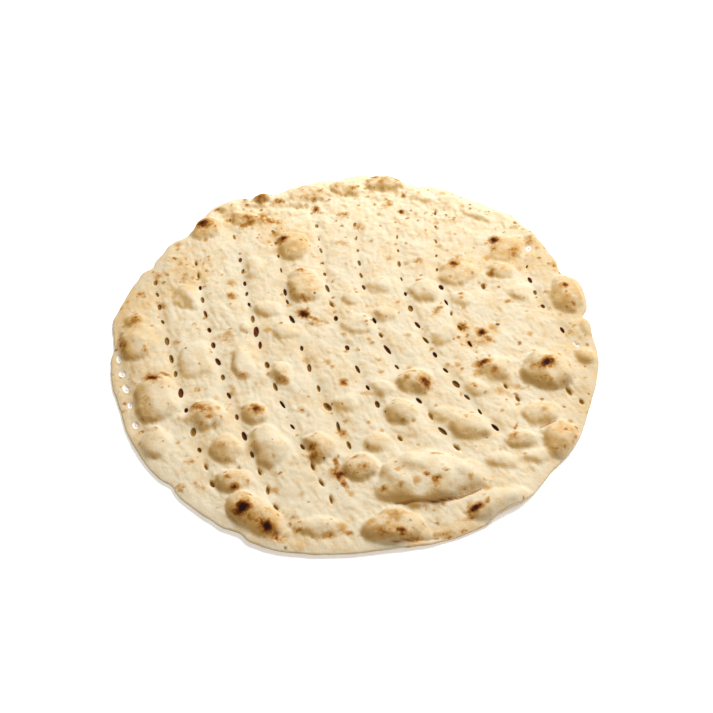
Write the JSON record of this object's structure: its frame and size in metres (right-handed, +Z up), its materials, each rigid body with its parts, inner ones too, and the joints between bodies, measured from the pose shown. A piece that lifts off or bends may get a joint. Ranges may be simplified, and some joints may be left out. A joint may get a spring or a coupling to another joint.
{
  "type": "taftoon flatbread",
  "caption": "Thin round leavened flatbread, docked with rows of pin holes, blistered and toasted in spots, lying flat on its underside.",
  "frame": {"origin": "middle of the bounding box, on the table the bread lies on", "axes": "+Z up through the thickness, +Y away from the thicker blistered front, +X to its right"},
  "size_m": [0.3998, 0.404, 0.0154],
  "materials": {
    "crust": "matte, floury crust, cream to tan with brown toasted spots"
  },
  "bodies": {
    "root": {"taftoon": "crust"}
  },
  "joints": []
}
